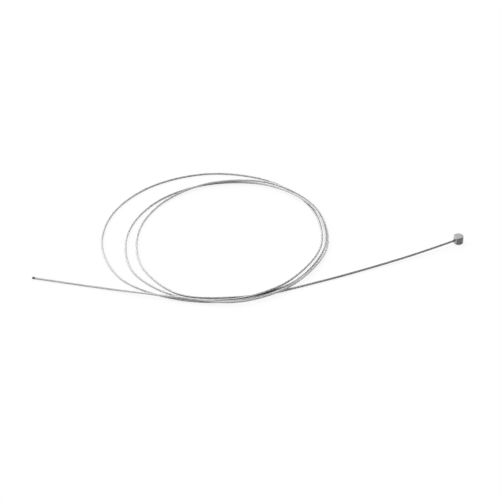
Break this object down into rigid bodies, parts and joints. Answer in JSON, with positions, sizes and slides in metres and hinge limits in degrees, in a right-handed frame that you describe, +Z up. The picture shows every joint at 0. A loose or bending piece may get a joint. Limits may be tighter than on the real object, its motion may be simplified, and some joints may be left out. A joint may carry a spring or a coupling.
{
  "type": "bicycle inner brake wire",
  "caption": "Thin steel strand that pulls a bicycle brake, with a barrel nipple on one end and a fused tip on the other, lying in loose turns.",
  "frame": {"origin": "centre of the barrel nipple's lower flat face, on the surface that the wire lies on", "axes": "+Z up along the nipple's axis; the wire leaves the nipple's side 31 degrees from -X towards -Y, and its coil lies towards -X"},
  "size_m": [0.3001, 0.163, 0.0055],
  "materials": {
    "strand_steel": "bright drawn wire",
    "nipple_zinc": "dull cast zinc",
    "fused_steel": "dark, melted by welding"
  },
  "bodies": {
    "root": {"barrel_nipple": "nipple_zinc", "inner_wire": "strand_steel", "fused_tip": "fused_steel"}
  },
  "joints": []
}
